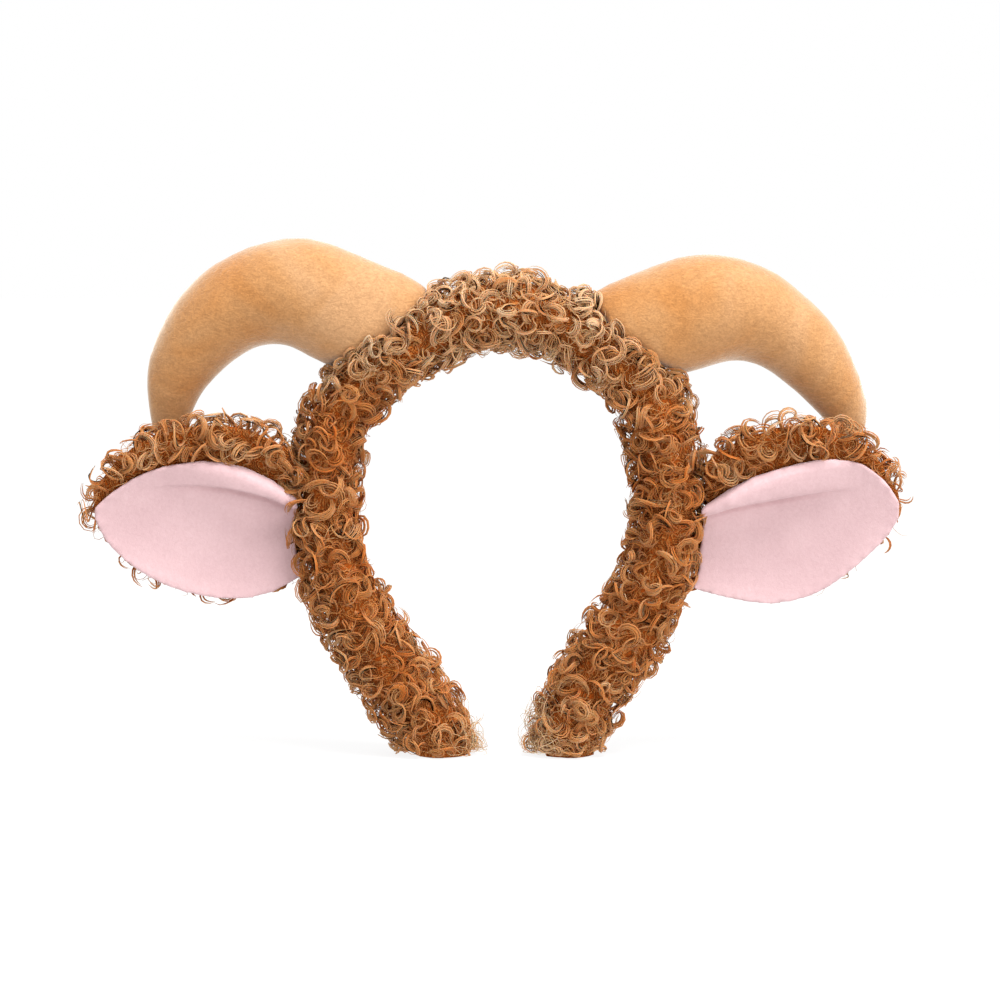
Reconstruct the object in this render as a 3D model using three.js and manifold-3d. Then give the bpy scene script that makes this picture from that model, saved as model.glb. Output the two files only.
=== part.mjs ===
// Costume headband: a sprung hoop wrapped in deep curly pile, with two stuffed ram horns and two lop ears.
// Millimetres. +Z is up and -Y is the front. The band stands on its two ends, and left and right are as seen
// from the front. The horns and ears are sewn by hand, so the two sides differ and each has its own table.
import * as THREE from "three";
import { mergeVertices } from "three/addons/utils/BufferGeometryUtils.js";
import Module from "manifold-3d";

const wasm = await Module();
wasm.setup();

// The band, measured at the middle line of its pile
const BAND_HALF_WIDTH = 64.6;
const BAND_RISE = 168.7;
const PILE_THICKNESS = 28; // seen from the front
const PILE_DEPTH = 35; // seen from the side
const TUFT_RISE = 1.1; // how far the tufts swell the pile, up and down
const TUFT_PITCH = 17;

// The horns are stuffed velour tubes that lean back as they curl down behind the ears
const LEFT_HORN_REACH = 93;
const LEFT_HORN_HEIGHT = 64;
const LEFT_HORN_GIRTH = 46;
const RIGHT_HORN_REACH = 98.5;
const RIGHT_HORN_HEIGHT = 52.5;
const RIGHT_HORN_GIRTH = 43.5;
const HORN_LEAN = 16; // how far back the tips lie
const HORN_SEAT_DEPTH = 0.82; // share of the pile's depth that the horn's root takes up inside the band
const HORN_TIP = 0.06; // share of the horn's length over which its tip is rounded off
const HORN_TIP_END = 0.12; // share of the girth that is left flat at the very tip

// The ears are a velour lining over a padded back of the band's pile
const LEFT_EAR_LENGTH = 78;
const LEFT_EAR_HEIGHT = 54.6;
const RIGHT_EAR_LENGTH = 74.5;
const RIGHT_EAR_HEIGHT = 57.4;
const EAR_CUP = 5; // how deep the lining is dished
const EAR_TUCK = 12; // length that is sewn in under the band's pile
const LINING_THICKNESS = 2;
const PLEAT_RISE = 4.6; // how far the pleat along the upper margin stands forward
const EAR_BACK_THICKNESS = 12; // at its middle
const EAR_RIM = 0.3; // share of that at the rim
const PILE_PAST_TOP = 18; // how far the back's pile stands past the lining
const PILE_PAST_TIP = 2;
const PILE_PAST_FOOT = 1.5;
const EAR_FORWARD = 7; // the ears sit in front of the band's middle
const EAR_TILT = THREE.MathUtils.degToRad(12); // their faces look a little down
const EAR_SWEEP = THREE.MathUtils.degToRad(4); // their tips come a little forward

const SEAM_GAP = 0.35; // between two pieces that are sewn together
const FACET_ROOM = 0.12; // added to it between lining and back, whose facets don't fall together

// Facets
const BAND_RINGS = 88;
const BAND_SIDES = 20;
const HORN_RINGS = 28;
const HORN_SIDES = 20;
const EAR_RINGS = 15;
const LINING_ROWS = 7; // below the pleat
const PLEAT_ROWS = 5;
const BACK_ROWS = 10;

// Middle line of the band from its left end over the crown to its right end. out is a share of BAND_HALF_WIDTH,
// up of BAND_RISE, thick of PILE_THICKNESS and deep of PILE_DEPTH.
const BAND_STATIONS = [
  { out: -0.347, up: -0.036, thick: 0.88, deep: 0.86 },
  { out: -0.35, up: 0.011, thick: 0.9, deep: 0.88 },
  { out: -0.39, up: 0.061, thick: 1, deep: 0.9 },
  { out: -0.488, up: 0.119, thick: 1.04, deep: 0.93 },
  { out: -0.624, up: 0.187, thick: 1.05, deep: 0.95 },
  { out: -0.765, up: 0.266, thick: 1.03, deep: 0.97 },
  { out: -0.887, up: 0.345, thick: 0.98, deep: 0.98 },
  { out: -0.965, up: 0.417, thick: 0.92, deep: 0.98 },
  { out: -1.006, up: 0.495, thick: 0.91, deep: 0.98 },
  { out: -1.018, up: 0.597, thick: 0.91, deep: 0.98 },
  { out: -0.994, up: 0.698, thick: 0.9, deep: 0.98 },
  { out: -0.918, up: 0.782, thick: 0.88, deep: 0.98 },
  { out: -0.776, up: 0.84, thick: 0.84, deep: 0.98 },
  { out: -0.571, up: 0.901, thick: 0.82, deep: 0.99 },
  { out: -0.335, up: 0.957, thick: 0.9, deep: 1 },
  { out: -0.16, up: 0.991, thick: 1, deep: 1 },
  { out: 0.03, up: 1, thick: 1.03, deep: 1 },
  { out: 0.224, up: 0.991, thick: 0.98, deep: 1 },
  { out: 0.4, up: 0.957, thick: 0.9, deep: 1 },
  { out: 0.624, up: 0.894, thick: 0.84, deep: 0.99 },
  { out: 0.824, up: 0.827, thick: 0.88, deep: 0.98 },
  { out: 0.92, up: 0.759, thick: 0.93, deep: 0.98 },
  { out: 0.965, up: 0.676, thick: 0.95, deep: 0.98 },
  { out: 0.975, up: 0.574, thick: 0.95, deep: 0.98 },
  { out: 0.968, up: 0.484, thick: 0.95, deep: 0.98 },
  { out: 0.922, up: 0.405, thick: 0.97, deep: 0.98 },
  { out: 0.843, up: 0.338, thick: 1.01, deep: 0.97 },
  { out: 0.724, up: 0.264, thick: 1.05, deep: 0.95 },
  { out: 0.586, up: 0.191, thick: 1.06, deep: 0.93 },
  { out: 0.48, up: 0.128, thick: 1.03, deep: 0.9 },
  { out: 0.415, up: 0.063, thick: 0.98, deep: 0.88 },
  { out: 0.4, up: 0.011, thick: 0.92, deep: 0.86 },
  { out: 0.4, up: -0.036, thick: 0.9, deep: 0.84 },
];

// Middle line of a horn, from its seat on the band's middle line. out is a share of the horn's reach, up of its
// height and girth of its girth. The last row is the tip.
const LEFT_HORN_STATIONS = [
  { out: 0, up: 0, girth: 0.96 },
  { out: 0.104, up: 0.085, girth: 1 },
  { out: 0.29, up: 0.219, girth: 0.957 },
  { out: 0.468, up: 0.321, girth: 0.915 },
  { out: 0.679, up: 0.266, girth: 0.802 },
  { out: 0.799, up: 0.158, girth: 0.742 },
  { out: 0.891, up: 0.006, girth: 0.658 },
  { out: 0.949, up: -0.128, girth: 0.575 },
  { out: 0.988, up: -0.287, girth: 0.465 },
  { out: 1, up: -0.431, girth: 0.366 },
  { out: 0.995, up: -0.563, girth: 0.29 },
  { out: 0.981, up: -0.68, girth: 0.24 },
];
const RIGHT_HORN_STATIONS = [
  { out: 0, up: 0, girth: 1 },
  { out: 0.106, up: 0.105, girth: 1 },
  { out: 0.254, up: 0.217, girth: 1 },
  { out: 0.406, up: 0.3, girth: 1 },
  { out: 0.562, up: 0.28, girth: 0.883 },
  { out: 0.707, up: 0.14, girth: 0.739 },
  { out: 0.811, up: -0.028, girth: 0.667 },
  { out: 0.892, up: -0.227, girth: 0.567 },
  { out: 0.949, up: -0.405, girth: 0.455 },
  { out: 0.98, up: -0.575, girth: 0.32 },
  { out: 1, up: -0.7, girth: 0.24 },
];

// Outline of an ear's lining. along is a share of its length, top and foot of its height, from the middle.
// pleat is how far up from foot to top the crease under the pleat lies, and fold how much of the pleat is left.
// pile is a share of PILE_PAST_TOP.
const LEFT_EAR_STATIONS = [
  { along: -0.15, top: 0.1, foot: -0.22, pleat: 0.84, fold: 0, pile: 1 },
  { along: 0, top: 0.194, foot: -0.33, pleat: 0.84, fold: 0.2, pile: 1 },
  { along: 0.1, top: 0.317, foot: -0.432, pleat: 0.84, fold: 0.8, pile: 0.95 },
  { along: 0.2, top: 0.399, foot: -0.478, pleat: 0.82, fold: 0.95, pile: 0.9 },
  { along: 0.3, top: 0.464, foot: -0.504, pleat: 0.8, fold: 0.85, pile: 0.85 },
  { along: 0.4, top: 0.491, foot: -0.496, pleat: 0.805, fold: 0.68, pile: 0.8 },
  { along: 0.5, top: 0.496, foot: -0.471, pleat: 0.807, fold: 0.42, pile: 0.78 },
  { along: 0.6, top: 0.478, foot: -0.432, pleat: 0.8, fold: 0.14, pile: 0.75 },
  { along: 0.7, top: 0.45, foot: -0.37, pleat: 0.8, fold: 0, pile: 0.72 },
  { along: 0.8, top: 0.39, foot: -0.28, pleat: 0.8, fold: 0, pile: 0.68 },
  { along: 0.9, top: 0.3, foot: -0.15, pleat: 0.8, fold: 0, pile: 0.6 },
  { along: 0.96, top: 0.23, foot: -0.04, pleat: 0.8, fold: 0, pile: 0.45 },
  { along: 1, top: 0.17, foot: 0.1, pleat: 0.8, fold: 0, pile: 0.25 },
];
const RIGHT_EAR_STATIONS = [
  { along: -0.15, top: 0.06, foot: -0.32, pleat: 0.88, fold: 0, pile: 1 },
  { along: 0, top: 0.144, foot: -0.418, pleat: 0.88, fold: 0.2, pile: 1 },
  { along: 0.1, top: 0.24, foot: -0.449, pleat: 0.84, fold: 0.8, pile: 1 },
  { along: 0.2, top: 0.336, foot: -0.476, pleat: 0.79, fold: 1, pile: 0.97 },
  { along: 0.3, top: 0.387, foot: -0.5, pleat: 0.77, fold: 0.95, pile: 0.95 },
  { along: 0.4, top: 0.428, foot: -0.497, pleat: 0.765, fold: 0.88, pile: 0.92 },
  { along: 0.5, top: 0.469, foot: -0.469, pleat: 0.755, fold: 0.74, pile: 0.85 },
  { along: 0.6, top: 0.495, foot: -0.421, pleat: 0.745, fold: 0.5, pile: 0.72 },
  { along: 0.7, top: 0.497, foot: -0.336, pleat: 0.735, fold: 0.22, pile: 0.58 },
  { along: 0.8, top: 0.476, foot: -0.219, pleat: 0.735, fold: 0, pile: 0.42 },
  { along: 0.9, top: 0.39, foot: -0.089, pleat: 0.735, fold: 0, pile: 0.28 },
  { along: 0.96, top: 0.3, foot: 0.01, pleat: 0.735, fold: 0, pile: 0.2 },
  { along: 1, top: 0.21, foot: 0.11, pleat: 0.735, fold: 0, pile: 0.12 },
];

const SIDES = [
  {
    name: "left",
    side: -1,
    hornSeat: 0.42, // share of the way along the band, from its left end
    reach: LEFT_HORN_REACH,
    height: LEFT_HORN_HEIGHT,
    girth: LEFT_HORN_GIRTH,
    hornStations: LEFT_HORN_STATIONS,
    earSeat: 0.236,
    earRoot: 0.34, // share of PILE_THICKNESS from the band's middle line to where the lining comes out
    earLength: LEFT_EAR_LENGTH,
    earHeight: LEFT_EAR_HEIGHT,
    earStations: LEFT_EAR_STATIONS,
  },
  {
    name: "right",
    side: 1,
    hornSeat: 0.595,
    reach: RIGHT_HORN_REACH,
    height: RIGHT_HORN_HEIGHT,
    girth: RIGHT_HORN_GIRTH,
    hornStations: RIGHT_HORN_STATIONS,
    earSeat: 0.77,
    earRoot: 0.43,
    earLength: RIGHT_EAR_LENGTH,
    earHeight: RIGHT_EAR_HEIGHT,
    earStations: RIGHT_EAR_STATIONS,
  },
];

// A smooth curve through one to three columns of a table
function curveThrough(rows, pick) {
  return new THREE.CatmullRomCurve3(
    rows.map((row) => new THREE.Vector3(...pick(row))),
    false,
    "centripetal",
  );
}

// A column of a table at a share of the way through its rows, on a smooth curve
function columnAt(rows, column, share) {
  return new THREE.SplineCurve(rows.map((row, i) => new THREE.Vector2(i, row[column]))).getPoint(share).y;
}

// A column of a table at a value of its first column, straight between rows
function readAt(rows, key, value, column) {
  const after = rows.findIndex((row) => row[key] >= value);
  if (after === 0) return rows[0][column];
  if (after < 0) return rows[rows.length - 1][column];
  const low = rows[after - 1];
  const high = rows[after];
  const share = (value - low[key]) / (high[key] - low[key]);
  return THREE.MathUtils.lerp(low[column], high[column], share);
}

// Two-dimensional places of a flat ring's points, in its own plane
function flattened(ring) {
  const normal = new THREE.Vector3();
  ring.forEach((point, i) => {
    const next = ring[(i + 1) % ring.length];
    normal.add(new THREE.Vector3().crossVectors(point, next));
  });
  normal.normalize();
  const across = new THREE.Vector3(0, 1, 0).cross(normal);
  if (across.length() < 0.1) across.set(1, 0, 0).cross(normal);
  across.normalize();
  const up = new THREE.Vector3().crossVectors(normal, across);
  return ring.map((point) => new THREE.Vector2(point.dot(across), point.dot(up)));
}

// The closed skin through rings of equally many points, with a flat face over each end
function loft(rings) {
  const around = rings[0].length;
  const faces = [];
  for (let i = 0; i + 1 < rings.length; i++) {
    for (let j = 0; j < around; j++) {
      const a = i * around + j;
      const b = i * around + ((j + 1) % around);
      faces.push(a, b, b + around, a, b + around, a + around);
    }
  }
  const last = (rings.length - 1) * around;
  for (const [a, b, c] of THREE.ShapeUtils.triangulateShape(flattened(rings[0]), [])) {
    faces.push(a, c, b);
  }
  for (const [a, b, c] of THREE.ShapeUtils.triangulateShape(flattened(rings.at(-1)), [])) {
    faces.push(last + a, last + b, last + c);
  }
  return new THREE.BufferGeometry().setFromPoints(rings.flat()).setIndex(faces);
}

// A geometry as a solid that can be cut, and back
function solidOf(geometry) {
  const bare = new THREE.BufferGeometry();
  bare.setAttribute("position", geometry.getAttribute("position").clone());
  bare.setIndex(geometry.index ? geometry.index.clone() : null);
  const merged = mergeVertices(bare, 1e-4);
  return new wasm.Manifold(
    new wasm.Mesh({
      numProp: 3,
      vertProperties: new Float32Array(merged.attributes.position.array),
      triVerts: new Uint32Array(merged.index.array),
    }),
  );
}

function geometryOf(solid) {
  const { vertProperties, triVerts } = solid.getMesh();
  const geometry = new THREE.BufferGeometry();
  geometry.setAttribute("position", new THREE.BufferAttribute(vertProperties, 3));
  geometry.setIndex(new THREE.BufferAttribute(triVerts, 1));
  geometry.computeVertexNormals();
  return geometry;
}

// Cuts a tool that is drawn in the part's frame out of a mesh that sits inside nested groups
function cutFrom(mesh, tool) {
  mesh.updateWorldMatrix(true, false);
  const placed = tool.clone().applyMatrix4(mesh.matrixWorld.clone().invert());
  mesh.geometry = geometryOf(solidOf(mesh.geometry).subtract(solidOf(placed)));
}

function material(color, roughness) {
  return new THREE.MeshStandardMaterial({ color, roughness, metalness: 0 });
}
const pileMaterial = material(0xa06c3f, 0.95);
const hornMaterial = material(0xdca872, 0.9);
const liningMaterial = material(0xe9c5cb, 0.9);

function named(name, geometry, finish) {
  const mesh = new THREE.Mesh(geometry, finish);
  mesh.name = name;
  return mesh;
}

// The band's middle line, and the pile's thickness and depth along it
const bandPath = curveThrough(BAND_STATIONS, (row) => [row.out * BAND_HALF_WIDTH, 0, row.up * BAND_RISE]);
bandPath.arcLengthDivisions = 600;

function bandAt(share) {
  const t = bandPath.getUtoTmapping(share);
  return {
    point: bandPath.getPoint(t),
    tangent: bandPath.getTangent(t),
    thickness: columnAt(BAND_STATIONS, "thick", t) * PILE_THICKNESS,
    depth: columnAt(BAND_STATIONS, "deep", t) * PILE_DEPTH,
  };
}

// How much the tufts swell the pile at a place along and around the band
function tuft(along, around) {
  const wave = (2 * Math.PI * along) / TUFT_PITCH;
  return TUFT_RISE * Math.sin(wave + 2 * Math.sin(2 * around)) * Math.cos(3 * around + wave / 5);
}

// The pile's outer form, grown on every side by extra
function bandTube(extra) {
  const length = bandPath.getLength();
  const rings = [];
  for (let i = 0; i <= BAND_RINGS; i++) {
    const share = i / BAND_RINGS;
    const { point, tangent, thickness, depth } = bandAt(share);
    const outward = new THREE.Vector3(0, 1, 0).cross(tangent).normalize();
    const ring = [];
    for (let j = 0; j < BAND_SIDES; j++) {
      const angle = (2 * Math.PI * j) / BAND_SIDES;
      const swell = extra + tuft(share * length, angle);
      const place = point.clone();
      place.addScaledVector(outward, (thickness / 2 + swell) * Math.cos(angle));
      place.y += (depth / 2 + swell) * Math.sin(angle);
      ring.push(place);
    }
    rings.push(ring);
  }
  return loft(rings);
}

// Everything below the floor, to trim the band's two ends flat
function belowFloor() {
  const size = 4 * BAND_HALF_WIDTH;
  const block = new THREE.BoxGeometry(size, size, size);
  block.deleteAttribute("normal");
  block.deleteAttribute("uv");
  return block.translate(0, 0, -size / 2);
}

function makeBand() {
  const mesh = named("curly_band", bandTube(0), pileMaterial);
  cutFrom(mesh, belowFloor());
  return mesh;
}

// How much of a horn's girth is left where its tip is rounded off, at a share of its length
function tipRounding(share) {
  const closing = Math.max(0, (share - 1) / HORN_TIP + 1);
  return Math.max(HORN_TIP_END, Math.sqrt(Math.max(0, 1 - closing ** 2)));
}

// A stuffed horn on its seat. Inside the band it is as flat as the band, and it grows round from there.
function makeHorn(spec) {
  const rootFlatness = (HORN_SEAT_DEPTH * PILE_DEPTH) / spec.girth;
  const path = curveThrough(spec.hornStations, (row) => [
    spec.side * row.out * spec.reach,
    0,
    row.up * spec.height,
  ]);
  const rings = [];
  for (let i = 0; i <= HORN_RINGS; i++) {
    // The rings come closer together towards the tip
    const share = 1 - (1 - i / HORN_RINGS) ** 1.25;
    const t = path.getUtoTmapping(Math.min(share, 0.999));
    const girth = columnAt(spec.hornStations, "girth", t) * spec.girth * tipRounding(share);
    const flatness = THREE.MathUtils.lerp(rootFlatness, 1, Math.min(1, share * 2.5));
    const across = new THREE.Vector3(0, 1, 0).cross(path.getTangent(t)).normalize();
    const middle = path.getPoint(t);
    middle.y = HORN_LEAN * share ** 1.6;
    const ring = [];
    for (let j = 0; j < HORN_SIDES; j++) {
      const angle = (2 * Math.PI * j) / HORN_SIDES;
      const place = middle.clone().addScaledVector(across, (girth / 2) * Math.cos(angle));
      place.y += (girth / 2) * flatness * Math.sin(angle);
      ring.push(place);
    }
    rings.push(ring);
  }
  const mesh = named(`horn_${spec.name}`, loft(rings), hornMaterial);
  mesh.position.copy(bandAt(spec.hornSeat).point);
  return mesh;
}

// How far behind its rim the dished lining lies, at a share of the length and of the way from foot to top
function dish(along, up) {
  const lengthways = Math.sin(Math.PI * THREE.MathUtils.clamp(0.2 + 0.8 * along, 0, 1));
  return EAR_CUP * 4 * up * (1 - up) * lengthways;
}

// How far the pleat stands forward of the dish: a half round from the crease to the top seam
function pleat(row, up) {
  if (up <= row.pleat) return 0;
  const over = (up - row.pleat) / (1 - row.pleat);
  return PLEAT_RISE * row.fold * Math.sqrt(Math.max(0, 1 - (2 * over - 1) ** 2));
}

function earRow(spec, along) {
  const columns = ["top", "foot", "pleat", "fold", "pile"];
  return Object.fromEntries(columns.map((key) => [key, readAt(spec.earStations, "along", along, key)]));
}

// Shares of the ear's length at which its rings lie, closer together towards the round tip
function earShares(spec) {
  const start = -EAR_TUCK / spec.earLength;
  const shares = [];
  for (let i = 0; i <= EAR_RINGS; i++) {
    shares.push(start + (1 - start) * Math.sin((Math.PI / 2) * (i / EAR_RINGS)) ** 0.85);
  }
  return shares;
}

// A front line from foot to top and a back line, as one closed ring round an ear's section
function sectionRing(front, back, side) {
  const ring = [...front, ...back.reverse()];
  return side > 0 ? ring.reverse() : ring;
}

function makeLining(spec) {
  const rings = earShares(spec).map((along) => {
    const row = earRow(spec, along);
    const ups = [];
    for (let j = 0; j < LINING_ROWS; j++) ups.push((row.pleat * j) / LINING_ROWS);
    for (let j = 0; j <= PLEAT_ROWS; j++) ups.push(row.pleat + ((1 - row.pleat) * j) / PLEAT_ROWS);
    const front = [];
    const back = [];
    for (const up of ups) {
      const x = spec.side * along * spec.earLength;
      const z = THREE.MathUtils.lerp(row.foot, row.top, up) * spec.earHeight;
      const y = dish(along, up);
      front.push(new THREE.Vector3(x, y - pleat(row, up), z));
      back.push(new THREE.Vector3(x, y + LINING_THICKNESS, z));
    }
    return sectionRing(front, back, spec.side);
  });
  return named(`ear_lining_${spec.name}`, loft(rings), liningMaterial);
}

function makeEarBack(spec) {
  const stretch = (spec.earLength + PILE_PAST_TIP) / spec.earLength;
  const room = LINING_THICKNESS + SEAM_GAP + FACET_ROOM;
  const rings = earShares(spec).map((along) => {
    const row = earRow(spec, along);
    const foot = row.foot * spec.earHeight - PILE_PAST_FOOT;
    const top = row.top * spec.earHeight + row.pile * PILE_PAST_TOP;
    const x = spec.side * along * spec.earLength * stretch;
    const seam = earRow(spec, along * stretch);
    const front = [];
    const back = [];
    for (let j = 0; j <= BACK_ROWS; j++) {
      const share = j / BACK_ROWS;
      const z = THREE.MathUtils.lerp(foot, top, share);
      const up = (z / spec.earHeight - seam.foot) / (seam.top - seam.foot);
      const y = room + dish(along * stretch, THREE.MathUtils.clamp(up, 0, 1));
      const crown = Math.sqrt(Math.max(0, 1 - (2 * share - 1) ** 4));
      const taper = Math.sqrt(THREE.MathUtils.clamp(3 * (1 - along), 0.2, 1));
      front.push(new THREE.Vector3(x, y, z));
      const thickness = EAR_BACK_THICKNESS * taper * (EAR_RIM + (1 - EAR_RIM) * crown);
      back.push(new THREE.Vector3(x, y + thickness, z));
    }
    return sectionRing(front, back, spec.side);
  });
  return named(`ear_back_${spec.name}`, loft(rings), pileMaterial);
}

function makeEar(spec) {
  const root = bandAt(spec.earSeat).point;
  const ear = new THREE.Group();
  ear.position.set(root.x + spec.side * spec.earRoot * PILE_THICKNESS, -EAR_FORWARD, root.z);
  ear.rotation.set(EAR_TILT, 0, -spec.side * EAR_SWEEP);
  ear.add(makeLining(spec), makeEarBack(spec));
  return ear;
}

const headband = new THREE.Group();
headband.add(makeBand());
for (const spec of SIDES) headband.add(makeHorn(spec), makeEar(spec));

// What is sewn on ends a seam's width short of the pile
const sewnUpTo = bandTube(SEAM_GAP);
headband.traverse((piece) => {
  if (piece.isMesh && piece.name !== "curly_band") cutFrom(piece, sewnUpTo);
});

// The origin is on the floor, in the middle of the whole object
headband.updateMatrixWorld(true);
const box = new THREE.Box3().setFromObject(headband, true);
const middle = box.getCenter(new THREE.Vector3());
headband.position.set(-middle.x, -middle.y, 0);

export default headband;
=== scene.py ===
import math

import bpy
import numpy as np
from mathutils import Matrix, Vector
from mathutils.bvhtree import BVHTree
from mathutils.geometry import convex_hull_2d
from mathutils.kdtree import KDTree


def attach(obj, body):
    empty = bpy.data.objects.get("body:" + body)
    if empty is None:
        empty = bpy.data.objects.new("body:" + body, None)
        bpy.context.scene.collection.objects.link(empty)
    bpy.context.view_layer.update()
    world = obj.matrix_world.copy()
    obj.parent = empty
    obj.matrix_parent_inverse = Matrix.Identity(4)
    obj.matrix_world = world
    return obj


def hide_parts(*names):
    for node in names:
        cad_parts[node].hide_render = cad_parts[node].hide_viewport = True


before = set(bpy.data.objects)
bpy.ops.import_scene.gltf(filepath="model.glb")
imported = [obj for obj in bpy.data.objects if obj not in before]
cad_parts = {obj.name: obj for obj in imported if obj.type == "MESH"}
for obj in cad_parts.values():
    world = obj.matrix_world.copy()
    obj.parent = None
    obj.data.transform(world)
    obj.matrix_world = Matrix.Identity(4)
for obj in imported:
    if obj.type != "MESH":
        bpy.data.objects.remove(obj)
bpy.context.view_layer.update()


# The view: from the front and a little above, through a long lens that keeps horns and ears nearly flat on.
# The photograph is as wide as 0.38 m at the headband.
PHOTO_WIDTH = 0.38
SENSOR_WIDTH = 36
CAMERA_DISTANCE = 1.25
CAMERA_HEIGHT = math.radians(4)
aim = Vector((0.0012, 0.0, 0.0969))

camera_data = bpy.data.cameras.new("photo_camera")
camera_data.sensor_width = SENSOR_WIDTH
camera_data.lens = SENSOR_WIDTH * CAMERA_DISTANCE / PHOTO_WIDTH
camera = bpy.data.objects.new("photo_camera", camera_data)
camera.location = aim + CAMERA_DISTANCE * Vector((0, -math.cos(CAMERA_HEIGHT), math.sin(CAMERA_HEIGHT)))
camera.rotation_euler = (math.pi / 2 - CAMERA_HEIGHT, 0, 0)
bpy.context.scene.collection.objects.link(camera)
bpy.context.scene.camera = camera
bpy.context.scene.view_settings.view_transform = "Standard"


# The studio: a pale floor that meets a white sky, with two big soft lights. One hangs above the front and the
# other stands low at the front right.
sky = bpy.data.worlds.new("white_sky")
sky.use_nodes = True
sky.node_tree.nodes["Background"].inputs["Color"].default_value = (1, 1, 1, 1)
sky.node_tree.nodes["Background"].inputs["Strength"].default_value = 1.0
bpy.context.scene.world = sky

bpy.ops.mesh.primitive_plane_add(size=40, location=(0, 0, 0))
floor = bpy.context.object
floor.name = "pale_floor"
paper = bpy.data.materials.new("pale_paper")
paper.use_nodes = True
paper_inputs = paper.node_tree.nodes["Principled BSDF"].inputs
paper_inputs["Base Color"].default_value = (0.15, 0.15, 0.15, 1)
paper_inputs["Roughness"].default_value = 0.9
paper_inputs["Specular IOR Level"].default_value = 0.0
paper_inputs["Emission Color"].default_value = (1, 1, 1, 1)
paper_inputs["Emission Strength"].default_value = 0.86
floor.data.materials.append(paper)


def soft_light(name, place, size, watts):
    """A square soft light at place, turned towards the middle of the headband."""
    data = bpy.data.lights.new(name, "AREA")
    data.size = size
    data.energy = watts
    light = bpy.data.objects.new(name, data)
    light.location = place
    light.rotation_euler = (Vector(place) - aim).to_track_quat("Z", "Y").to_euler()
    bpy.context.scene.collection.objects.link(light)


soft_light("top_light", (0.35, -0.6, 1.6), 0.9, 34)
soft_light("front_light", (1.4, -1.35, 0.35), 1.0, 19)


# The horns: short-nap camel velour, sewn as tapering tubes, stuffed firm with polyester and sewn to the band.
# The stuffing swells the cloth a little past its pattern and leaves shallow lumps.
HORN_GRID = 0.0032
HORN_SWELL = 0.0012
CLOTH_PRESSURE = 4
LUMP_HEIGHT = 0.0009
HORN_SET = {"left": (-0.0006, 0, 0.0008), "right": (0.0006, 0, -0.0003)}


def only(obj):
    """Selects obj alone and makes it active, so that an operator acts on it and on nothing else."""
    bpy.ops.object.select_all(action="DESELECT")
    obj.select_set(True)
    bpy.context.view_layer.objects.active = obj


def applied(obj, kind, **settings):
    """Adds a modifier to obj with these settings and applies it."""
    only(obj)
    modifier = obj.modifiers.new(kind.lower(), kind)
    for key, value in settings.items():
        setattr(modifier, key, value)
    bpy.ops.object.modifier_apply(modifier=modifier.name)


def even_copy(node, name, grid):
    """A new object with the CAD node's form, in one skin of even faces about as wide as grid."""
    obj = bpy.data.objects.new(name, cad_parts[node].data.copy())
    obj.data.materials.clear()
    bpy.context.scene.collection.objects.link(obj)
    only(obj)
    bpy.ops.object.mode_set(mode="EDIT")
    bpy.ops.mesh.select_all(action="SELECT")
    bpy.ops.mesh.remove_doubles(threshold=0.00001)
    bpy.ops.object.mode_set(mode="OBJECT")
    applied(obj, "REMESH", mode="VOXEL", voxel_size=grid)
    return obj


def points_of(mesh):
    co = np.zeros(len(mesh.vertices) * 3)
    mesh.vertices.foreach_get("co", co)
    return co.reshape(-1, 3)


def move_points(mesh, co):
    mesh.vertices.foreach_set("co", co.ravel())
    mesh.update()


def stuffed(obj, swell):
    """Lets Cloth blow obj up from inside, with no point moving further than swell."""
    cloth = obj.modifiers.new("stuffing", "CLOTH")
    cloth.settings.use_pressure = True
    cloth.settings.uniform_pressure_force = CLOTH_PRESSURE
    cloth.settings.effector_weights.gravity = 0
    scene = bpy.context.scene
    for step in range(1, 21):
        scene.frame_set(step)
    blown = obj.evaluated_get(bpy.context.evaluated_depsgraph_get()).to_mesh()
    start = points_of(obj.data)
    moved = points_of(blown) - start
    reach = np.linalg.norm(moved, axis=1, keepdims=True)
    obj.modifiers.remove(cloth)
    scene.frame_set(1)
    move_points(obj.data, start + moved * np.minimum(1, swell / np.maximum(reach, 1e-9)))


def smooth_shaded(obj):
    obj.data.polygons.foreach_set("use_smooth", [True] * len(obj.data.polygons))


def cloud_texture(name, size):
    clouds = bpy.data.textures.new(name, "CLOUDS")
    clouds.noise_scale = size
    return clouds


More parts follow.
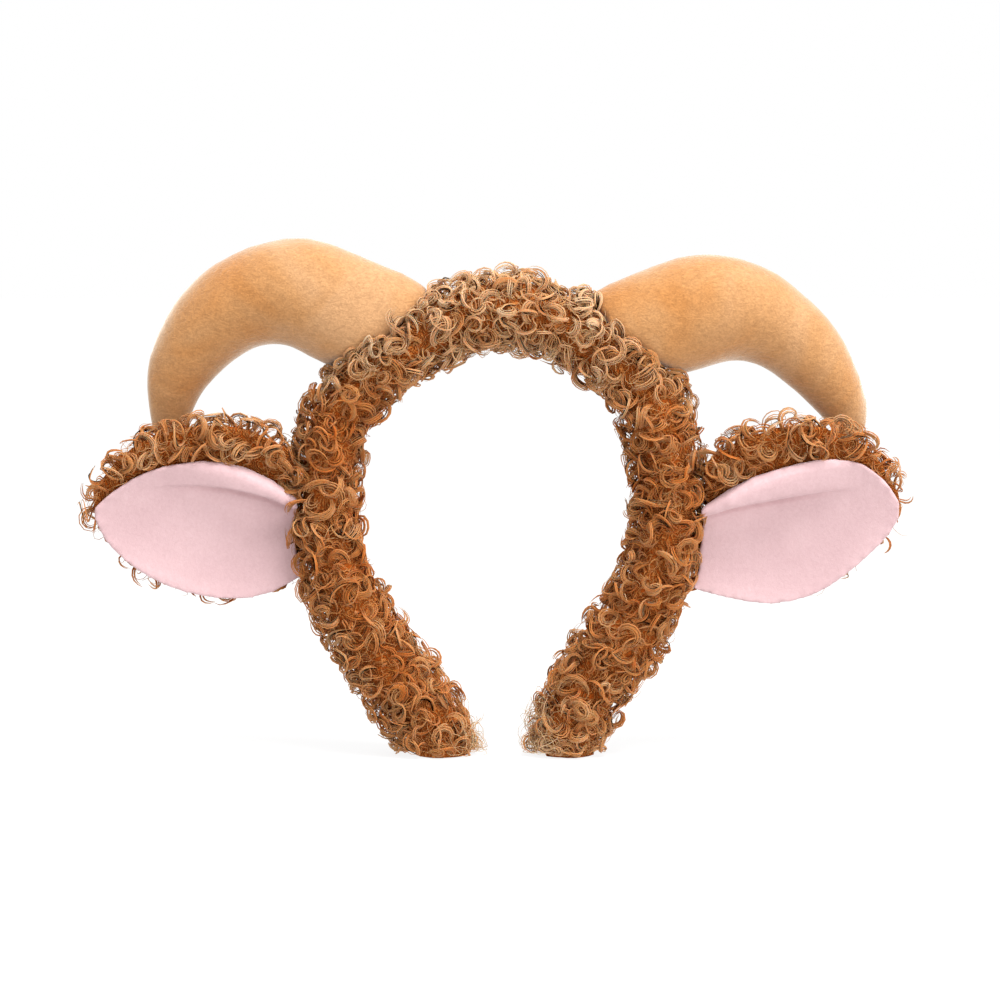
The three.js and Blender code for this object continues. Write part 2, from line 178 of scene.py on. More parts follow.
class Finish:
    """A material's nodes, added one after another and joined by name."""

    def __init__(self, name):
        self.material = bpy.data.materials.new(name)
        self.material.use_nodes = True
        self.tree = self.material.node_tree
        self.shader = self.tree.nodes["Principled BSDF"]
        self.place = self.add("ShaderNodeTexCoord").outputs["Object"]

    def add(self, kind, **settings):
        node = self.tree.nodes.new(kind)
        for key, value in settings.items():
            setattr(node, key, value)
        return node

    def join(self, output, socket):
        self.tree.links.new(output, socket)

    def noise(self, scale, detail=2, roughness=0.5, distortion=0.0, place=None):
        node = self.add("ShaderNodeTexNoise")
        node.inputs["Scale"].default_value = scale
        node.inputs["Detail"].default_value = detail
        node.inputs["Roughness"].default_value = roughness
        node.inputs["Distortion"].default_value = distortion
        self.join(self.place if place is None else place, node.inputs["Vector"])
        return node.outputs["Fac"]

    def ramp(self, value, *stops):
        """A colour ramp through (position, (red, green, blue)) stops."""
        node = self.add("ShaderNodeValToRGB")
        elements = node.color_ramp.elements
        while len(elements) < len(stops):
            elements.new(0.5)
        for element, (position, colour) in zip(elements, stops):
            element.position = position
            element.color = (*colour, 1)
        self.join(value, node.inputs["Fac"])
        return node.outputs["Color"]

    def mix(self, amount, first, second, blend="MIX"):
        node = self.add("ShaderNodeMix", data_type="RGBA", blend_type=blend)
        for value, socket in ((amount, node.inputs[0]), (first, node.inputs[6]), (second, node.inputs[7])):
            if isinstance(value, bpy.types.NodeSocket):
                self.join(value, socket)
            else:
                socket.default_value = value
        return node.outputs[2]

    def sum(self, first, second, operation="ADD"):
        node = self.add("ShaderNodeMath", operation=operation)
        for value, socket in ((first, node.inputs[0]), (second, node.inputs[1])):
            if isinstance(value, bpy.types.NodeSocket):
                self.join(value, socket)
            else:
                socket.default_value = value
        return node.outputs[0]

    def bump(self, height, strength, distance):
        node = self.add("ShaderNodeBump")
        node.inputs["Strength"].default_value = strength
        node.inputs["Distance"].default_value = distance
        self.join(height, node.inputs["Height"])
        self.join(node.outputs["Normal"], self.shader.inputs["Normal"])

    def set(self, **values):
        for key, value in values.items():
            self.shader.inputs[key.replace("_", " ")].default_value = value


# Camel velour: the nap lies in patches, some oranger and some paler, with short crinkles and a fine grain
velour = Finish("camel_velour")
patches = velour.ramp(
    velour.noise(24, detail=3, distortion=0.6),
    (0.38, (0.405, 0.178, 0.055)),
    (0.50, (0.42, 0.212, 0.084)),
    (0.62, (0.445, 0.245, 0.116)),
)
slant = velour.add("ShaderNodeMapping", vector_type="POINT")
slant.inputs["Rotation"].default_value = (0, math.radians(35), 0)
slant.inputs["Scale"].default_value = (1.0, 1.0, 1.9)
velour.join(velour.place, slant.inputs["Vector"])
crinkles = velour.noise(430, detail=3, roughness=0.6, distortion=0.9, place=slant.outputs["Vector"])
grain = velour.noise(1300, detail=2, roughness=0.6)
crinkle_tones = velour.ramp(crinkles, (0.36, (0.30, 0.24, 0.18)), (0.64, (0.82, 0.80, 0.76)))
crinkled = velour.mix(0.20, patches, crinkle_tones, "OVERLAY")
grain_tones = velour.ramp(grain, (0.35, (0.25, 0.25, 0.25)), (0.65, (0.8, 0.8, 0.8)))
napped = velour.mix(0.16, crinkled, grain_tones, "OVERLAY")
velour.join(napped, velour.shader.inputs["Base Color"])
velour.bump(velour.sum(velour.sum(grain, 0.4, "MULTIPLY"), crinkles), 0.55, 0.0005)
velour.set(Roughness=0.9, Specular_IOR_Level=0.1, Sheen_Weight=1.0, Sheen_Roughness=0.4)
velour.set(Sheen_Tint=(1.0, 0.93, 0.82, 1))

lumps = cloud_texture("stuffing_lumps", 0.022)
for side in ("left", "right"):
    horn = even_copy(f"horn_{side}", f"velour_horn_{side}", HORN_GRID)
    applied(horn, "SMOOTH", factor=0.5, iterations=4)
    stuffed(horn, HORN_SWELL)
    applied(horn, "SMOOTH", factor=0.5, iterations=3)
    applied(horn, "DISPLACE", texture=lumps, texture_coords="LOCAL", strength=LUMP_HEIGHT, mid_level=0.5)
    applied(horn, "SUBSURF", levels=1, render_levels=1)
    move_points(horn.data, points_of(horn.data) + HORN_SET[side])
    smooth_shaded(horn)
    horn.data.materials.append(velour.material)
    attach(horn, "root")
    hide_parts(f"horn_{side}")


# The ear linings: pale pink velour cut to the ear's outline, with a pleat taken along the upper margin and
# rolled forward, then sewn edge to edge to the curly back.
LINING_GRID = 0.0007

pink = Finish("pink_velour")
blush = pink.ramp(pink.noise(60, detail=3), (0.35, (0.565, 0.377, 0.390)), (0.65, (0.605, 0.410, 0.422)))
pink_grain = pink.noise(800, detail=4, roughness=0.7, distortion=0.6)
pink_tones = pink.ramp(pink_grain, (0.3, (0.25, 0.25, 0.25)), (0.7, (0.8, 0.8, 0.8)))
pinked = pink.mix(0.12, blush, pink_tones, "OVERLAY")
pink.join(pinked, pink.shader.inputs["Base Color"])
pink.bump(pink_grain, 0.4, 0.0003)
pink.set(Roughness=0.9, Specular_IOR_Level=0.1, Sheen_Weight=0.3, Sheen_Roughness=0.5)
pink.set(Sheen_Tint=(1.0, 0.9, 0.92, 1))


def tree_of(obj):
    """A search tree of a piece's skin, with its points and triangles."""
    mesh = obj.data
    mesh.calc_loop_triangles()
    corners = np.zeros(len(mesh.loop_triangles) * 3, np.int32)
    mesh.loop_triangles.foreach_get("vertices", corners)
    triangles = corners.reshape(-1, 3)
    points = points_of(mesh)
    return BVHTree.FromPolygons(points.tolist(), triangles.tolist()), points, triangles


# Under each pleat: x and z of the crease, and how far the fold is rolled over it
CREASES = {
    "left": ((-0.130, 0.1020, 0.0), (-0.124, 0.1028, 0.0003), (-0.112, 0.1035, 0.0014), (-0.100, 0.1023, 0.0024),
             (-0.088, 0.0993, 0.0026), (-0.076, 0.0943, 0.0018), (-0.068, 0.0900, 0.0010)),
    "right": ((0.068, 0.0890, 0.0010), (0.076, 0.0908, 0.0018), (0.088, 0.0948, 0.0026), (0.100, 0.0970, 0.0026),
              (0.112, 0.0993, 0.0020), (0.124, 0.1010, 0.0009), (0.134, 0.1018, 0.0)),
}
ROLL_HEIGHT = 0.0008
ROLL_WIDTH = 0.0050
ROLL_OVERHANG = 0.55
TUCK_WIDTH = 0.0016
PUCKER_DEPTH = 0.00012
PUCKER_REACH = 0.0022


def creased(lining, crease):
    """Rolls the pleat over its crease, tucks the cloth in under it, and puckers the cloth beside the seam."""
    crease = np.array(crease)
    co = points_of(lining.data)
    normal = np.zeros(co.size)
    lining.data.vertices.foreach_get("normal", normal)
    facing = -normal.reshape(-1, 3)[:, 1]
    front = np.clip(facing * 2, 0, 1)
    over = co[:, 2] - np.interp(co[:, 0], crease[:, 0], crease[:, 1])
    roll = np.interp(co[:, 0], crease[:, 0], crease[:, 2])
    step = np.clip(over / ROLL_HEIGHT, 0, 1)
    step = step * step * (3 - 2 * step)
    fold = step * np.exp(-np.maximum(0, over - ROLL_HEIGHT) / ROLL_WIDTH)
    lip = np.where(over > 0, fold, -0.5 * np.exp(-((over / TUCK_WIDTH) ** 2)))
    rim = co[np.abs(facing) < 0.45]
    seam = KDTree(len(rim))
    for i, place in enumerate(rim):
        seam.insert(place, i)
    seam.balance()
    inward = np.array([seam.find(place)[2] for place in co])
    ripple = np.sin(2 * math.pi * co[:, 0] / 0.0043)
    ripple = ripple + np.sin(2 * math.pi * (co[:, 2] + 0.4 * co[:, 0]) / 0.0057)
    co[:, 1] -= front * (roll * lip + PUCKER_DEPTH * ripple * np.exp(-inward / PUCKER_REACH))
    co[:, 2] -= front * ROLL_OVERHANG * roll * step * np.exp(-np.maximum(0, over) / 0.003)
    move_points(lining.data, co)


for side in ("left", "right"):
    lining = even_copy(f"ear_lining_{side}", f"pink_lining_{side}", LINING_GRID)
    applied(lining, "SMOOTH", factor=0.5, iterations=4)
    creased(lining, CREASES[side])
    smooth_shaded(lining)
    lining.data.materials.append(pink.material)
    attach(lining, "root")
    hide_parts(f"ear_lining_{side}")


# The curly plush: a knitted backing with a deep boucle pile, wrapped round the padded hoop and cut for the
# ears' backs. The backing lies under the pile and shows only as a dark ground between the curls.
BAND_GRID = 0.0028
BAND_BACKING_DEPTH = 0.0032
EAR_BACKING_DEPTH = 0.0009
SEAM_GAP = 0.0012
SINK_WIDTH = 0.004

ground = Finish("pile_ground")
turf = ground.noise(120, detail=2)
lines = []
for direction in ("X", "Z"):
    wave = ground.add("ShaderNodeTexWave", bands_direction=direction)
    wave.inputs["Scale"].default_value = 230
    wave.inputs["Distortion"].default_value = 22
    wave.inputs["Detail"].default_value = 3
    wave.inputs["Detail Scale"].default_value = 0.9
    ground.join(ground.place, wave.inputs["Vector"])
    lines.append(wave.outputs["Color"])
fuzz = ground.mix(ground.ramp(turf, (0.45, (0, 0, 0)), (0.55, (1, 1, 1))), lines[0], lines[1])
ground.join(
    ground.ramp(fuzz, (0.1, (0.34, 0.066, 0.006)), (0.5, (0.42, 0.110, 0.016)), (0.95, (0.50, 0.175, 0.044))),
    ground.shader.inputs["Base Color"],
)
ground.bump(fuzz, 1.0, 0.0012)
ground.set(Roughness=0.95, Specular_IOR_Level=0.1)

horns = [tree_of(bpy.data.objects[f"velour_horn_{side}"])[0] for side in ("left", "right")]
linings = [tree_of(bpy.data.objects[f"pink_lining_{side}"])[0] for side in ("left", "right")]

backings = {}
for node, depth in (
    ("curly_band", BAND_BACKING_DEPTH),
    ("ear_back_left", EAR_BACKING_DEPTH),
    ("ear_back_right", EAR_BACKING_DEPTH),
):
    backing = even_copy(node, f"plush_ground_{node}", BAND_GRID)
    foot = points_of(backing.data)[:, 2] < 0.001
    applied(backing, "SMOOTH", factor=0.5, iterations=3)
    near_horn = backing.vertex_groups.new(name="sunk")
    for vertex in backing.data.vertices:
        gap = min(tree.find_nearest(vertex.co)[3] for tree in horns)
        near_horn.add([vertex.index], min(1, max(0, (gap - SEAM_GAP) / SINK_WIDTH)), "REPLACE")
    applied(backing, "DISPLACE", strength=-depth, mid_level=0, vertex_group="sunk")
    applied(backing, "SMOOTH", factor=0.5, iterations=2)
    if node == "curly_band":
        co = points_of(backing.data)
        co[foot, 2] = 0.0002
        move_points(backing.data, co)
    smooth_shaded(backing)
    backing.data.materials.append(ground.material)
    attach(backing, "root")
    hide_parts(node)
    backings[node] = backing


# The curls: each is a bundle of fine fibres that leaves the backing and winds into a ringlet of 6 to 10 mm.
# They lie every way, so some show flat on as rings and some stand out from the edge as hooks, over a frizz of
# finer fibres.
RINGLETS = dict(
    count=10, size=(0.0062, 0.0096), turns=(0.6, 1.15), lift=(0.15, 0.95),
    low=(0.0012, 0.005), high=(0.0065, 0.0115), lining_room=0.0008,
)
UNDER_LOCKS = dict(
    count=7, size=(0.005, 0.010), turns=(0.3, 0.8), lift=(0.05, 0.5),
    low=(0.0003, 0.0015), high=(0.003, 0.006), lining_room=0.0007,
)
FRIZZ = dict(count=8, turns=(0.4, 1.1), lift=(0.3, 1.0), low=(0.0005, 0.003), lining_room=0.0009)
EAR_LIFT = 0.0012
COMBED_LEFT = {"left": 0.0046, "right": 0.0028}
OVER_SEAM = 0.003
BUNDLE_WIDTH = 0.0021
FIBRE_WIDTH = 0.00062
FIBRE_FLATNESS = 0.9
UNDER_WIDTH = 0.00085
FRIZZ_WIDTH = 0.00024
RIM_FRINGE = {"left": 0.0034, "right": 0.0010}
RIM_TIP = {"left": 0.080, "right": 0.093}
FEW = {"left": 0.25, "right": 0.08}
LOCK_FLOOR = 0.0016
STRAND_FLOOR = 0.0007
HORN_ROOM = 0.0015
SEEN_FROM = -0.06
LONGEST_STEP = 1.8
SHARPEST_BEND = 1.25
LEAST_WINDING = 1.6


def unit(v):
    return v / np.maximum(np.linalg.norm(v, axis=-1, keepdims=True), 1e-12)


def scattered(points, triangles, spacing, tries, draw, keep):
    """Places on a skin at least spacing apart, where keep(place) allows one, with the way out from each."""
    a, b, c = (points[triangles[:, k]] for k in range(3))
    outward = np.cross(b - a, c - a)
    area = np.linalg.norm(outward, axis=1)
    picked = draw.choice(len(triangles), tries, p=area / area.sum())
    u, v = draw.random(tries), draw.random(tries)
    fold = u + v > 1
    u[fold], v[fold] = 1 - u[fold], 1 - v[fold]
    places = a[picked] + u[:, None] * (b - a)[picked] + v[:, None] * (c - a)[picked]
    cells, kept = {}, []
    for i, place in enumerate(places):
        cell = tuple((place // spacing).astype(int))
        around = [
            j
            for x in (-1, 0, 1)
            for y in (-1, 0, 1)
            for z in (-1, 0, 1)
            for j in cells.get((cell[0] + x, cell[1] + y, cell[2] + z), ())
        ]
        if any(np.sum((places[j] - place) ** 2) < spacing**2 for j in around) or not keep(place):
            continue
        cells.setdefault(cell, []).append(i)
        kept.append(i)
    return places[kept], unit(outward[picked[kept]])


def wound(places, ways, towards, points, size, turns, lift, draw):
    """Middle lines of locks: each leaves its place, leans towards a way of its own, and winds into a ring of size."""
    n = len(places)
    along = unit(np.cross(ways, draw.normal(size=(n, 3))))
    rise = draw.uniform(lift[0], lift[1], (n, 1))
    start = unit(ways * rise + along * np.sqrt(1 - rise**2) + towards)
    fold_in = unit(-ways + start * np.sum(ways * start, axis=1, keepdims=True))
    flat = draw.random((n, 1)) < 0.45
    sideways = draw.choice([-0.5, 0.5], (n, 1)) * math.pi + draw.normal(0, 0.35, (n, 1))
    lean = np.where(flat, sideways, draw.uniform(0, 2 * math.pi, (n, 1)))
    bend = fold_in * np.cos(lean) + np.cross(start, fold_in) * np.sin(lean)
    axis = np.cross(start, bend)
    turn = 2 * math.pi * draw.uniform(turns[0], turns[1], (n, 1))
    step = draw.uniform(size[0], size[1], (n, 1)) / 2 * turn / (points - 1)
    drift = draw.uniform(-0.25, 0.25, (n, 1))
    draw.random(2 * n)  # passed over, so that each seed still gives the locks chosen for it
    path = np.zeros((n, points, 3))
    path[:, 0] = places
    for k in range(1, points):
        share = (k - 0.5) / (points - 1)
        angle = turn * share
        path[:, k] = path[:, k - 1] + step * (start * np.cos(angle) + bend * np.sin(angle) + axis * drift)
    return path, axis


def eased(path):
    """Rounds the corners of each line and leaves its ends."""
    path[:, 1:-1] = (path[:, :-2] + 2 * path[:, 1:-1] + path[:, 2:]) / 4


def lifted(path, skin, low, high):
    """Brings each lock softly between low and high above its skin."""
    for i, lock in enumerate(path):
        middle, half = (low[i] + high[i]) / 2, (high[i] - low[i]) / 2
        for k in range(1, len(lock)):
            near, out, _, _ = skin.find_nearest(Vector(lock[k]))
            out = np.array(out)
            height = float(np.dot(lock[k] - np.array(near), out))
            wanted = middle + half * math.tanh((height - middle) / half)
            lock[k] += out * (wanted - height) * min(1, k / 3)


def cleared(path, trees, room):
    """Pushes each lock out of other pieces, to room from them, and up from the floor."""
    for lock in path:
        for k in range(1, len(lock)):
            for tree in trees:
                near, out, _, _ = tree.find_nearest(Vector(lock[k]), 0.012)
                if near is None:
                    continue
                clear = (Vector(lock[k]) - near).dot(out)
                if clear < room:
                    lock[k] += np.array(out) * (room - clear)
    path[:, 1:, 2] = np.maximum(path[:, 1:, 2], LOCK_FLOOR)


def lining_at(tree, point):
    """The place on a lining that is straight in front of or behind point, or None."""
    return tree.ray_cast(Vector((point[0], SEEN_FROM, point[2])), Vector((0, 1, 0)))[0]


def drawn_over(path):
    """Draws the locks beside an ear's base over the front of its lining."""
    for lock in path:
        for k in range(2, len(lock)):
            for tree in linings:
                near = lining_at(tree, lock[k])
                if near is not None and lock[k, 1] - near.y < 0.0035:
                    lock[k, 1] = min(lock[k, 1], near.y - 0.0022)


def spoils(lock, in_front):
    """True where a lock pokes through a lining, or hangs over one further than it may."""
    over = 0
    for point in lock:
        for tree in linings:
            near = lining_at(tree, point)
            if near is None:
                continue
            depth = point[1] - near.y
            if depth > 0.0062:
                continue
            if depth > -0.0010:
                return True
            over += 1
    return over > in_front


def rim_of(obj):
    """The outline of a piece seen from the front, as the ways out of its edges and how far out each one lies."""
    flat = points_of(obj.data)[:, (0, 2)]
    ring = flat[convex_hull_2d(flat.tolist())]
    edge = np.roll(ring, -1, axis=0) - ring
    away = np.stack([edge[:, 1], -edge[:, 0]], axis=1)
    away = away / np.linalg.norm(away, axis=1, keepdims=True)
    reach = np.sum(away * ring, axis=1)
    return (away, reach) if np.all(away @ flat.mean(axis=0) < reach) else (-away, -reach)


rims = {side: rim_of(bpy.data.objects[f"pink_lining_{side}"]) for side in ("left", "right")}


def hangs(lock, side):
    """True where a lock on an ear's back would show below the lining's lower edge."""
    away, reach = rims[side]
    past = (lock[:, (0, 2)] @ away.T - reach).max(axis=1)
    return np.any((past > RIM_FRINGE[side]) & (lock[:, 2] < RIM_TIP[side]))


def misshapen(lock):
    """True where a lock was pulled long, bent sharply or straightened on its way round an edge."""
    steps = np.diff(lock, axis=0)
    lengths = np.linalg.norm(steps, axis=1)
    bends = np.arccos(np.clip(np.sum(unit(steps[:-1]) * unit(steps[1:]), axis=1), -1, 1))
    return lengths.max() > LONGEST_STEP * lengths.mean() or bends.max() > SHARPEST_BEND or bends.sum() < LEAST_WINDING


def strands_of(path, axis, turn, offset, stray, draw):
    """One strand of each lock, offset across its middle line. It strays, and ends a little before the tip."""
    n, points, _ = path.shape
    reach = draw.uniform(0.82, 1.0, (n, 1)) * np.arange(points)[None, :]
    low = np.minimum(reach.astype(int), points - 2)
    part = (reach - low)[:, :, None]
    rows = np.arange(n)[:, None]
    path = path[rows, low] * (1 - part) + path[rows, low + 1] * part
    tangent = unit(np.gradient(path, axis=1))
    across = unit(np.cross(tangent, axis[:, None, :]))
    beside = np.cross(tangent, across)
    turn = turn[:, None, None]
    wide, deep = across * np.cos(turn) + beside * np.sin(turn), beside * np.cos(turn) - across * np.sin(turn)
    share = np.linspace(0, 1, points)[None, :, None]
    aside = np.reshape(offset, (-1, 1, 1)) * (0.3 + 0.8 * np.sin(math.pi * share * 0.95) ** 0.7)
    aside = aside + draw.normal(0, 1, (n, 1, 1)) * stray * (0.4 + share)
    strand = path + wide * aside + deep * draw.normal(0, 1, (n, 1, 1)) * stray
    strand[:, :, 2] = np.maximum(strand[:, :, 2], STRAND_FLOOR)
    return strand, wide


def pile_mesh(name, bunches):
    """One mesh of closed tubes that thin to the tip. A bunch is its strands' (path, wide way, width, thickness,
    number of sides, place across the bundle from -1 to 1, tint, height above the backing). A strand is shaded
    partly as its place on its bundle's round form, which keeps the bundle soft. One whose place is None is shaded
    on its own. UV map pile holds the way round and along a strand, and UV map lock its tint and height."""
    co, shading, corners, totals, uv, lock = [], [], [], [], [], []
    first_point = 0
    for path, wide, width, thickness, sides, place, tint, heights in bunches:
        n, points, _ = path.shape
        tangent = unit(np.gradient(path, axis=1))
        wide = unit(wide - tangent * np.sum(wide * tangent, axis=2, keepdims=True))
        deep = np.cross(tangent, wide)
        share = np.linspace(0, 1, points)
        taper = ((0.6 + 0.4 * np.minimum(1, share * 4)) * (1 - 0.85 * share**2.4))[None, :, None, None] / 2
        angles = (np.arange(sides) + 0.5) * 2 * math.pi / sides
        ring = (wide * width[:, None, None])[:, :, None] * np.cos(angles)[None, None, :, None]
        ring = ring + (deep * thickness[:, None, None])[:, :, None] * np.sin(angles)[None, None, :, None]
        co.append((path[:, :, None] + ring * taper).reshape(-1, 3))
        first = first_point + (np.arange(n) * points * sides)[:, None, None]
        row = (np.arange(points - 1) * sides)[None, :, None]
        around, after = np.arange(sides), (np.arange(sides) + 1) % sides
        a, b = first + row + around, first + row + after
        quads = np.stack([a, b, b + sides, a + sides], axis=-1)
        u = np.broadcast_to(np.stack([around, around + 1, around + 1, around], axis=-1) / sides, quads.shape)
        low, high = share[:-1][None, :, None], share[1:][None, :, None]
        v = np.broadcast_to(np.stack([low, low, high, high], axis=-1), quads.shape)
        h = np.stack([heights[:, :-1], heights[:, :-1], heights[:, 1:], heights[:, 1:]], axis=-1)[:, :, None]
        h = np.broadcast_to(h, quads.shape)
        t = np.broadcast_to(tint[:, None, None, None], quads.shape)
        corners.append(quads.reshape(-1))
        levels = np.arange(points - 1)
        turned = []
        for level, corner in ((levels, around), (levels, after), (levels + 1, after), (levels + 1, around)):
            sideways, outward = np.cos(angles[corner]), np.sin(angles[corner])
            if place is not None:
                sideways, outward = 0.6 * place + 0.3 * sideways, np.sin((around + 1) * 2 * math.pi / sides)
            way = wide[:, level][:, :, None] * sideways[:, None]
            turned.append(unit(way + deep[:, level][:, :, None] * outward[:, None]))
        shading.append(np.stack(turned, axis=3).reshape(-1, 3))
        totals.append(np.full(quads.size // 4, 4))
        uv.append(np.stack([u, v], axis=-1).reshape(-1, 2))
        lock.append(np.stack([t, h], axis=-1).reshape(-1, 2))
        start = first[:, 0]
        ends = ((start + around[::-1], 0), (start + (points - 1) * sides + around, points - 1))
        for cap, level in ends:
            corners.append(cap.reshape(-1))
            along = tangent[:, level] * (1 if level else -1)
            shading.append(np.repeat(along, sides, axis=0))
            totals.append(np.full(n, sides))
            uv.append(np.full((n * sides, 2), (0.5, share[level])))
            lock.append(np.repeat(np.stack([tint, heights[:, level]], axis=-1), sides, axis=0))
        first_point += n * points * sides
    corners, totals = np.concatenate(corners).astype(np.int32), np.concatenate(totals).astype(np.int32)
    mesh = bpy.data.meshes.new(name)
    mesh.vertices.add(first_point)
    mesh.vertices.foreach_set("co", np.concatenate(co).ravel())
    mesh.loops.add(len(corners))
    mesh.loops.foreach_set("vertex_index", corners)
    mesh.polygons.add(len(totals))
    mesh.polygons.foreach_set("loop_start", (np.cumsum(totals) - totals).astype(np.int32))
    mesh.update(calc_edges=True)
    mesh.polygons.foreach_set("use_smooth", [True] * len(totals))
    for layer, values in (("pile", uv), ("lock", lock)):
        mesh.uv_layers.new(name=layer).data.foreach_set("uv", np.concatenate(values).astype(np.float32).ravel())
    mesh.normals_split_custom_set(np.concatenate(shading).tolist())
    obj = bpy.data.objects.new(name, mesh)
    bpy.context.scene.collection.objects.link(obj)
    return obj


# Brown boucle: every strand has its own brown, streaked by its fibres, with painted shade that darkens it near its
# root
boucle = Finish("brown_boucle")


def uv_of(finish, name):
    split = finish.add("ShaderNodeSeparateXYZ")
    finish.join(finish.add("ShaderNodeUVMap", uv_map=name).outputs["UV"], split.inputs["Vector"])
    return split.outputs["X"], split.outputs["Y"]


around, along = uv_of(boucle, "pile")
tint, height = uv_of(boucle, "lock")
fibre_place = boucle.add("ShaderNodeCombineXYZ")
boucle.join(boucle.sum(around, boucle.sum(tint, 61.0, "MULTIPLY")), fibre_place.inputs["X"])
boucle.join(boucle.sum(along, 0.35, "MULTIPLY"), fibre_place.inputs["Y"])
boucle.join(boucle.sum(tint, 17.0, "MULTIPLY"), fibre_place.inputs["Z"])
streak = boucle.noise(11, detail=3, roughness=0.7, place=fibre_place.outputs["Vector"])
shade = boucle.sum(tint, boucle.sum(boucle.sum(streak, 0.5, "SUBTRACT"), 0.5, "MULTIPLY"))
clumps = boucle.sum(boucle.sum(boucle.noise(75, detail=1), 0.5, "SUBTRACT"), 0.6, "MULTIPLY")
browns = boucle.ramp(
    boucle.sum(shade, clumps),
    (0.0, (0.38, 0.092, 0.012)),
    (0.35, (0.39, 0.129, 0.028)),
    (0.65, (0.41, 0.190, 0.074)),
    (1.0, (0.56, 0.368, 0.226)),
)
# Painted shade: each strand is darkened within 7 mm of the backing, by its height above it
roots = boucle.ramp(height, (0.0, (0.95, 0.70, 0.45)), (0.0035, (1.0, 0.88, 0.76)), (0.007, (1.0, 1.0, 1.0)))
boucle.join(boucle.mix(1.0, browns, roots, "MULTIPLY"), boucle.shader.inputs["Base Color"])
boucle.bump(streak, 0.2, 0.0002)
boucle.set(Roughness=0.7, Specular_IOR_Level=0.1, Sheen_Weight=0.25, Sheen_Roughness=0.5)
boucle.set(Specular_Tint=(1.0, 0.82, 0.62, 1), Sheen_Tint=(1.0, 0.74, 0.48, 1))
boucle.set(Subsurface_Weight=0.35, Subsurface_Scale=0.0010, Subsurface_Radius=(1.0, 0.45, 0.2))


def horn_ways(places, ways):
    """For roots beside a horn, a lean over its base; zero elsewhere. Also which roots a horn covers."""
    lean, covered = np.zeros_like(places), np.zeros(len(places), bool)
    for i, place in enumerate(places):
        for tree in horns:
            near, out, _, far = tree.find_nearest(Vector(place), 0.009)
            if near is None:
                continue
            to_horn = np.array(near) - place
            if np.dot(to_horn, ways[i]) > 0.75 * far or np.dot(to_horn, np.array(out)) > 0:
                covered[i] = True
            else:
                lean[i] = 1.1 * to_horn / max(far, 1e-6) + 0.6 * ways[i]
        for tree in linings:
            near, _, _, far = tree.find_nearest(Vector(place), 0.008)
            if near is not None and ways[i, 1] < 0.2:
                lean[i] = 1.3 * (np.array(near) - place) / max(far, 1e-6) + np.array((0, -0.8, 0))
    return lean, covered


def pale_tone_and_painted_light(node, roots):
    """How much paler the pile is at each root. On the ears' backs it is evenly paler. On the band it is painted light
    and shade: palest over the crown, where the top light falls, a little pale at the feet, where the floor lights
    them, and darkest on the sides between.
    """
    if node != "curly_band":
        return 0.13
    return np.interp(roots[:, 2], (0.0, 0.03, 0.06, 0.128, 0.155, 0.180), (0.14, 0.09, 0.02, 0.0, 0.33, 0.50))


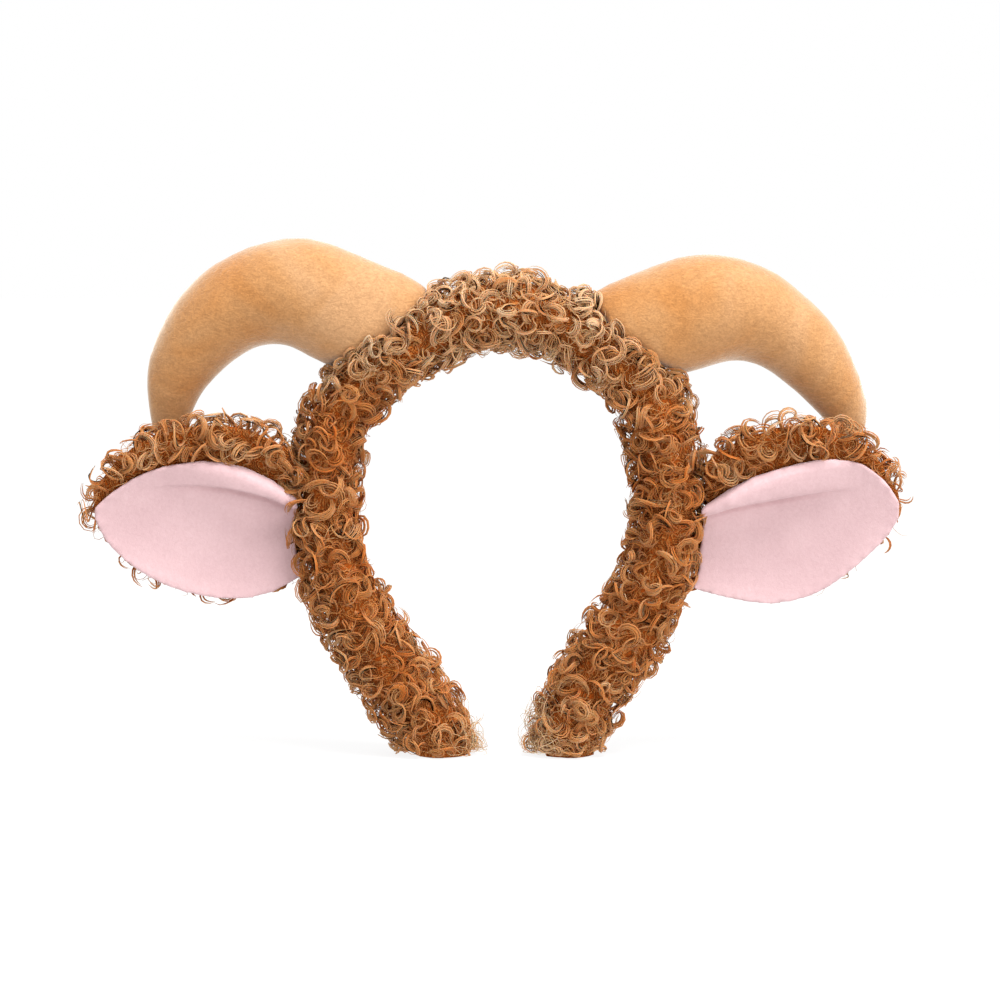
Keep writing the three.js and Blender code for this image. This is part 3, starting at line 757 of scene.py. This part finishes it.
def pile(name, node, area, seed, spacing=0.0042, under_spacing=0.0034, frizz_spacing=0.0030, ringlets=True,
         frizz_size=(0.004, 0.009), frizz_height=(0.0055, 0.0112), pale=0.0):
    """Curls and frizz over the part of a backing that area(place) names, as one mesh."""
    draw = np.random.default_rng(seed)
    skin, points, triangles = tree_of(backings[node])
    on_ear = node != "curly_band"
    side = "left" if "left" in name else "right"

    def locks(spacing, count, size, turns, lift, low, high, lining_room):
        def open_place(place):
            clear = all(tree.find_nearest(Vector(place))[3] > lining_room for tree in linings)
            return area(place) and place[2] > 0.0008 and clear

        places, ways = scattered(points, triangles, spacing, 40000, draw, open_place)
        lean, covered = horn_ways(places, ways)
        if on_ear:
            lean[:] = 0
        places, ways, lean = places[~covered], ways[~covered], lean[~covered]
        path, axis = np.zeros((len(places), count, 3)), np.zeros((len(places), 3))
        todo = np.arange(len(places))
        for _ in range(6):
            tried, turned = wound(places[todo], ways[todo], lean[todo], count, size, turns, lift, draw)
            n = len(todo)
            combed = EAR_LIFT if on_ear else -COMBED_LEFT[side] * ways[todo, 0]
            leaning = np.abs(lean[todo]).sum(axis=1) > 0
            combed = combed + OVER_SEAM * leaning * np.clip(-1.5 * ways[todo, 1], 0, 1)
            raised = np.maximum(0.6 * combed, 0.3 * combed)
            lowest = draw.uniform(low[0], low[1], n) + raised
            highest = draw.uniform(high[0], high[1], n) + combed
            lifted(tried, skin, lowest, highest)
            eased(tried)
            cleared(tried, horns, HORN_ROOM)
            if not on_ear:
                drawn_over(tried)
            eased(tried)
            path[todo], axis[todo] = tried, turned
            bad = [
                misshapen(lock) or np.sum(lock[:, 2] < LOCK_FLOOR + 0.00005) > 4 or spoils(lock, 1 if on_ear else 10)
                or on_ear and hangs(lock, side) and draw.random() > FEW[side]
                for lock in tried
            ]
            todo = todo[bad]
            if not len(todo):
                break
        kept = np.delete(np.arange(len(places)), todo)
        path, axis = path[kept], axis[kept]
        heights = np.array([[skin.find_nearest(Vector(p))[3] for p in lock] for lock in path])
        return path, axis, heights

    bunches = []
    if ringlets:
        path, axis, heights = locks(spacing, **RINGLETS)
        tint = np.clip(draw.normal(0.5, 0.08, len(path)) + pale_tone_and_painted_light(node, path[:, 0]), 0.01, 0.99)
        turn = draw.normal(0, 0.8, len(path))
        width = BUNDLE_WIDTH * draw.uniform(0.75, 1.2, len(path))
        for offset in (-0.5, -0.3, -0.1, 0.1, 0.3, 0.5):
            stray = 0.00022 if abs(offset) < 0.4 else 0.00032
            strand, wide = strands_of(path, axis, turn, offset * width, stray, draw)
            own = np.clip(tint + draw.normal(0, 0.05, len(path)), 0.01, 0.99)
            thick = FIBRE_WIDTH * draw.uniform(0.8, 1.2, len(path))
            bunches.append((strand, wide, thick, thick * FIBRE_FLATNESS, 3, offset * 2, own, heights))
        path, axis, heights = locks(under_spacing, **UNDER_LOCKS)
        tint = np.clip(draw.normal(0.47, 0.08, len(path)) + pale_tone_and_painted_light(node, path[:, 0]), 0.01, 0.99)
        for offset in (-0.0004, 0.0004):
            strand, wide = strands_of(path, axis, draw.normal(0, 0.8, len(path)), offset, 0.0002, draw)
            thick = UNDER_WIDTH * draw.uniform(0.8, 1.2, len(path))
            bunches.append((strand, wide, thick, thick * 0.8, 3, None, tint, heights))
    path, axis, heights = locks(frizz_spacing, size=frizz_size, high=frizz_height, **FRIZZ)
    strand, wide = strands_of(path, axis, np.zeros(len(path)), 0.0, 0.0, draw)
    fine = FRIZZ_WIDTH * draw.uniform(0.8, 1.3, len(path))
    tint = np.clip(draw.normal(0.55, 0.08, len(path)) + pale_tone_and_painted_light(node, path[:, 0]) + pale, 0.01, 0.99)
    bunches.append((strand, wide, fine, fine, 3, None, tint, heights))
    obj = pile_mesh(name, bunches)
    obj.data.materials.append(boucle.material)
    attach(obj, "root")


MIDDLE = 0.0027
LEG_TOP = 0.088


def beside_horn(place):
    return min(tree.find_nearest(Vector(place))[3] for tree in horns) < 0.0045


pile("curls_left_leg", "curly_band", lambda p: p[0] < MIDDLE and p[2] < LEG_TOP, 11)
pile("curls_left_crown", "curly_band", lambda p: p[0] < MIDDLE and p[2] >= LEG_TOP, 12)
pile("curls_right_leg", "curly_band", lambda p: p[0] >= MIDDLE and p[2] < LEG_TOP, 13)
pile("curls_right_crown", "curly_band", lambda p: p[0] >= MIDDLE and p[2] >= LEG_TOP, 14)
pile("curls_horn_bases", "curly_band", beside_horn, 17, 0.0026)
pile("wisps_feet", "curly_band", lambda p: p[2] < 0.024 and -0.014 < p[0] < 0.021, 18, frizz_spacing=0.00065,
     ringlets=False, frizz_size=(0.008, 0.014), frizz_height=(0.008, 0.015), pale=0.5)
pile("curls_left_ear", "ear_back_left", lambda p: True, 15)
pile("curls_right_ear", "ear_back_right", lambda p: True, 16)
